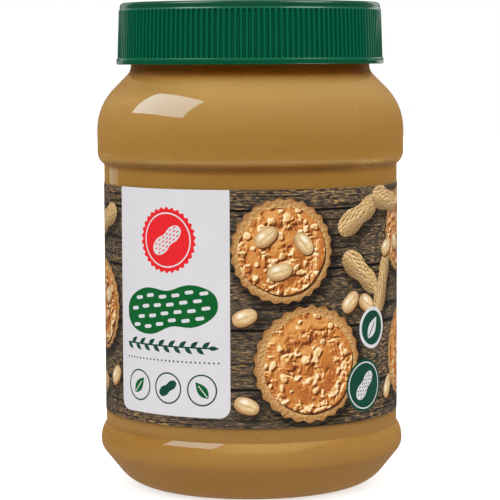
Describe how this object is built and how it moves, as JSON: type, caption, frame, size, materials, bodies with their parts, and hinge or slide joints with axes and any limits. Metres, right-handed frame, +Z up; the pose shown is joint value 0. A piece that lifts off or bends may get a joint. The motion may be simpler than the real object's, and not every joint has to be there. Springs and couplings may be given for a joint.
{
  "type": "jar of peanut butter",
  "caption": "Clear plastic jar of peanut butter with a rounded shoulder and heel, a wrapped label in a recessed panel and a ribbed screw lid.",
  "frame": {"origin": "on the table under the jar's axis", "axes": "+Z up along the jar's axis, the label's front towards -Y"},
  "size_m": [0.1, 0.1, 0.157],
  "materials": {
    "clear_jar": "clear blow-moulded plastic, polished",
    "peanut_butter": "smooth nut paste with small dark flecks, seen through the wall",
    "label_print": "printed film with a satin varnish",
    "lid_plastic": "moulded satin plastic, ribbed skirt"
  },
  "bodies": {
    "root": {"jar": "clear_jar", "peanut_butter": "peanut_butter", "label": "label_print", "lid": "lid_plastic"}
  },
  "joints": []
}
